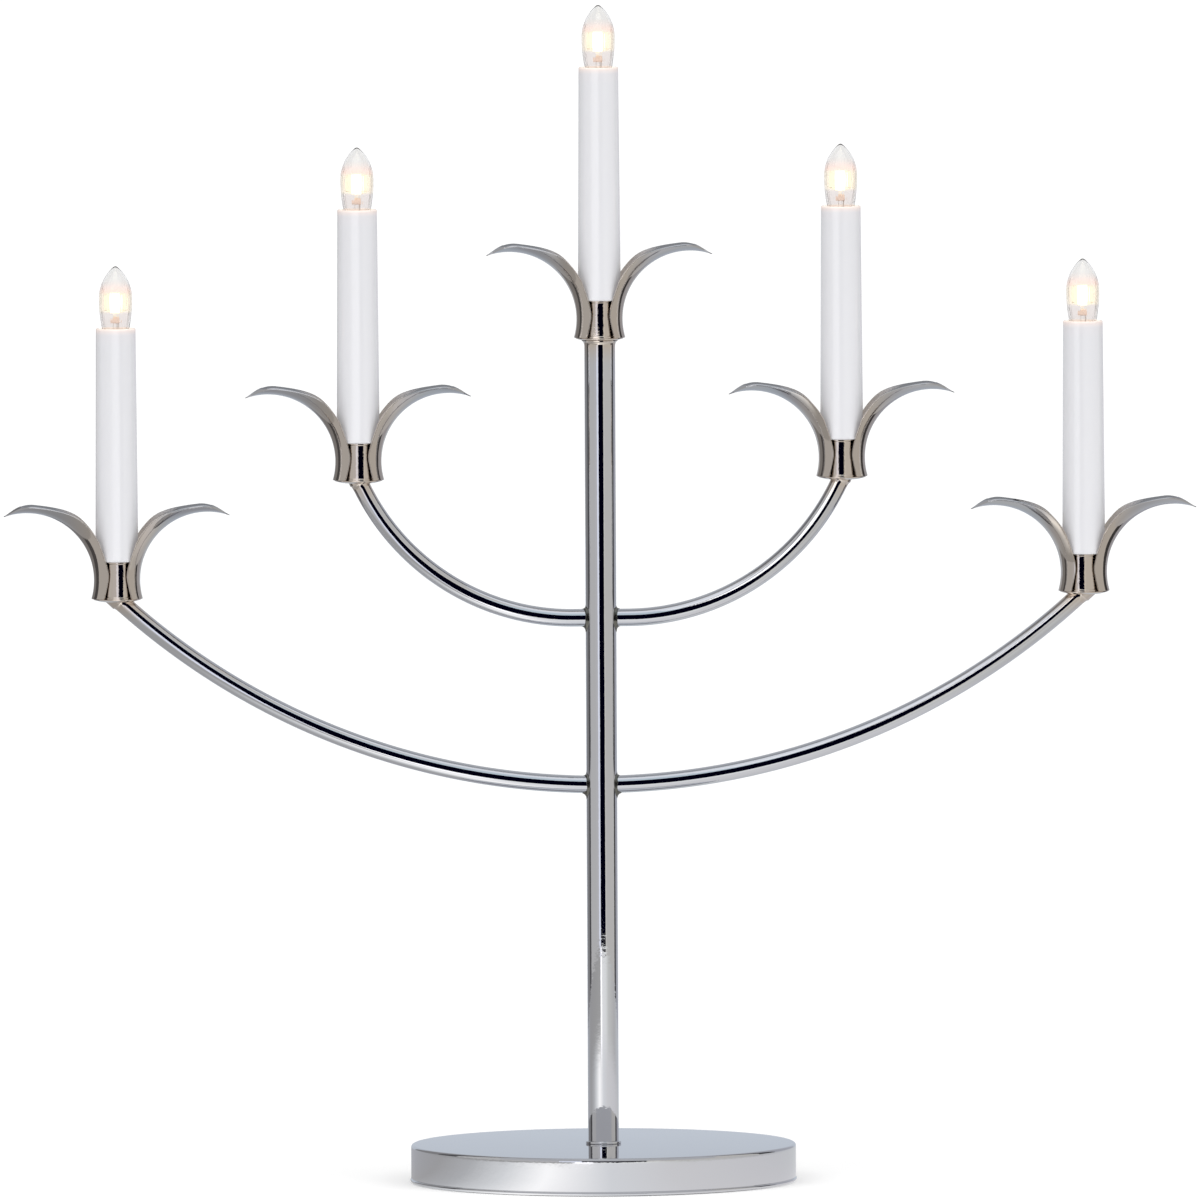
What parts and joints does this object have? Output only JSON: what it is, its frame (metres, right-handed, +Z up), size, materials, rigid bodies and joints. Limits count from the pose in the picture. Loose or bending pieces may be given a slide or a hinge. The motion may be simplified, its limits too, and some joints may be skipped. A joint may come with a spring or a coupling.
{
  "type": "tabletop candelabra",
  "caption": "Chromed tabletop candelabra with stepped arms, leaf drip trays and electric candles on a weighted drum base.",
  "frame": {"origin": "centre of the base's underside, on the surface that the candelabra stands on", "axes": "+X along the arms to the right candles, +Y to the rear where the cord's bush is, +Z up"},
  "size_m": [0.5426, 0.1758, 0.5358],
  "materials": {
    "chrome_plate": "polished chromium plate",
    "steel_sheet": "zinc plated",
    "cast_iron": "raw casting",
    "foam_pad": "matt foam",
    "bush_plastic": "moulded, satin",
    "terminal_plastic": "moulded, matt",
    "brass": "pressed, bright",
    "wire_insulation": "smooth",
    "candle_plastic": "moulded, glossy",
    "lampholder_plastic": "moulded, matt",
    "bulb_glass": "clear, ribbed",
    "nickel_plate": "rolled thread, nickel plated",
    "solder": "solder",
    "led_body": "clear warm resin"
  },
  "bodies": {
    "stand": {"base_shell": "chrome_plate", "base_plate": "steel_sheet", "base_weight": "cast_iron", "base_pad": "foam_pad", "cord_bush": "bush_plastic", "terminal_block": "terminal_plastic", "terminal_screws": "steel_sheet", "stem_tube": "chrome_plate", "stem_collar": "chrome_plate", "stem_washer": "steel_sheet", "stem_nut": "brass", "arm_outer_left": "chrome_plate", "arm_outer_right": "chrome_plate", "arm_inner_left": "chrome_plate", "arm_inner_right": "chrome_plate", "wiring_loom": "wire_insulation", "lampholders": "lampholder_plastic", "socket_shells": "brass", "socket_contacts": "brass", "cup_outer_left": "chrome_plate", "cup_inner_left": "chrome_plate", "cup_centre": "chrome_plate", "cup_inner_right": "chrome_plate", "cup_outer_right": "chrome_plate", "leaf_left_outer_left": "chrome_plate", "leaf_left_inner_left": "chrome_plate", "leaf_left_centre": "chrome_plate", "leaf_left_inner_right": "chrome_plate", "leaf_left_outer_right": "chrome_plate", "leaf_right_outer_left": "chrome_plate", "leaf_right_inner_left": "chrome_plate", "leaf_right_centre": "chrome_plate", "leaf_right_inner_right": "chrome_plate", "leaf_right_outer_right": "chrome_plate", "candle_sleeve_outer_left": "candle_plastic", "candle_sleeve_inner_left": "candle_plastic", "candle_sleeve_centre": "candle_plastic", "candle_sleeve_inner_right": "candle_plastic", "candle_sleeve_outer_right": "candle_plastic"},
    "contact_outer_left": {"bulb_contact_outer_left": "solder"},
    "bulb_outer_left": {"bulb_envelope_outer_left": "bulb_glass", "bulb_cap_outer_left": "nickel_plate", "bulb_led_outer_left": "led_body"},
    "contact_inner_left": {"bulb_contact_inner_left": "solder"},
    "bulb_inner_left": {"bulb_envelope_inner_left": "bulb_glass", "bulb_cap_inner_left": "nickel_plate", "bulb_led_inner_left": "led_body"},
    "contact_centre": {"bulb_contact_centre": "solder"},
    "bulb_centre": {"bulb_envelope_centre": "bulb_glass", "bulb_cap_centre": "nickel_plate", "bulb_led_centre": "led_body"},
    "contact_inner_right": {"bulb_contact_inner_right": "solder"},
    "bulb_inner_right": {"bulb_envelope_inner_right": "bulb_glass", "bulb_cap_inner_right": "nickel_plate", "bulb_led_inner_right": "led_body"},
    "contact_outer_right": {"bulb_contact_outer_right": "solder"},
    "bulb_outer_right": {"bulb_envelope_outer_right": "bulb_glass", "bulb_cap_outer_right": "nickel_plate", "bulb_led_outer_right": "led_body"}
  },
  "joints": [
    {"name": "bulb_rise_outer_left", "type": "slide", "parent": "stand", "child": "contact_outer_left", "axis": [0, 0, 1], "range_m": [0, 0.00723]},
    {"name": "bulb_turn_outer_left", "type": "hinge", "parent": "contact_outer_left", "child": "bulb_outer_left", "pos_m": [-0.22, 0, 0.39051], "axis": [0, 0, 1], "range_deg": [0, 1440]},
    {"name": "bulb_rise_inner_left", "type": "slide", "parent": "stand", "child": "contact_inner_left", "axis": [0, 0, 1], "range_m": [0, 0.00723]},
    {"name": "bulb_turn_inner_left", "type": "hinge", "parent": "contact_inner_left", "child": "bulb_inner_left", "pos_m": [-0.11, 0, 0.44365], "axis": [0, 0, 1], "range_deg": [0, 1440]},
    {"name": "bulb_rise_centre", "type": "slide", "parent": "stand", "child": "contact_centre", "axis": [0, 0, 1], "range_m": [0, 0.00723]},
    {"name": "bulb_turn_centre", "type": "hinge", "parent": "contact_centre", "child": "bulb_centre", "pos_m": [0, 0, 0.5076], "axis": [0, 0, 1], "range_deg": [0, 1440]},
    {"name": "bulb_rise_inner_right", "type": "slide", "parent": "stand", "child": "contact_inner_right", "axis": [0, 0, 1], "range_m": [0, 0.00723]},
    {"name": "bulb_turn_inner_right", "type": "hinge", "parent": "contact_inner_right", "child": "bulb_inner_right", "pos_m": [0.11, 0, 0.44365], "axis": [0, 0, 1], "range_deg": [0, 1440]},
    {"name": "bulb_rise_outer_right", "type": "slide", "parent": "stand", "child": "contact_outer_right", "axis": [0, 0, 1], "range_m": [0, 0.00723]},
    {"name": "bulb_turn_outer_right", "type": "hinge", "parent": "contact_outer_right", "child": "bulb_outer_right", "pos_m": [0.22, 0, 0.39051], "axis": [0, 0, 1], "range_deg": [0, 1440]}
  ],
  "couplings": [
    {"joint": "bulb_turn_outer_left", "follows": "bulb_rise_outer_left", "rad_per_m": 3471.4},
    {"joint": "bulb_turn_inner_left", "follows": "bulb_rise_inner_left", "rad_per_m": 3471.4},
    {"joint": "bulb_turn_centre", "follows": "bulb_rise_centre", "rad_per_m": 3471.4},
    {"joint": "bulb_turn_inner_right", "follows": "bulb_rise_inner_right", "rad_per_m": 3471.4},
    {"joint": "bulb_turn_outer_right", "follows": "bulb_rise_outer_right", "rad_per_m": 3471.4}
  ]
}
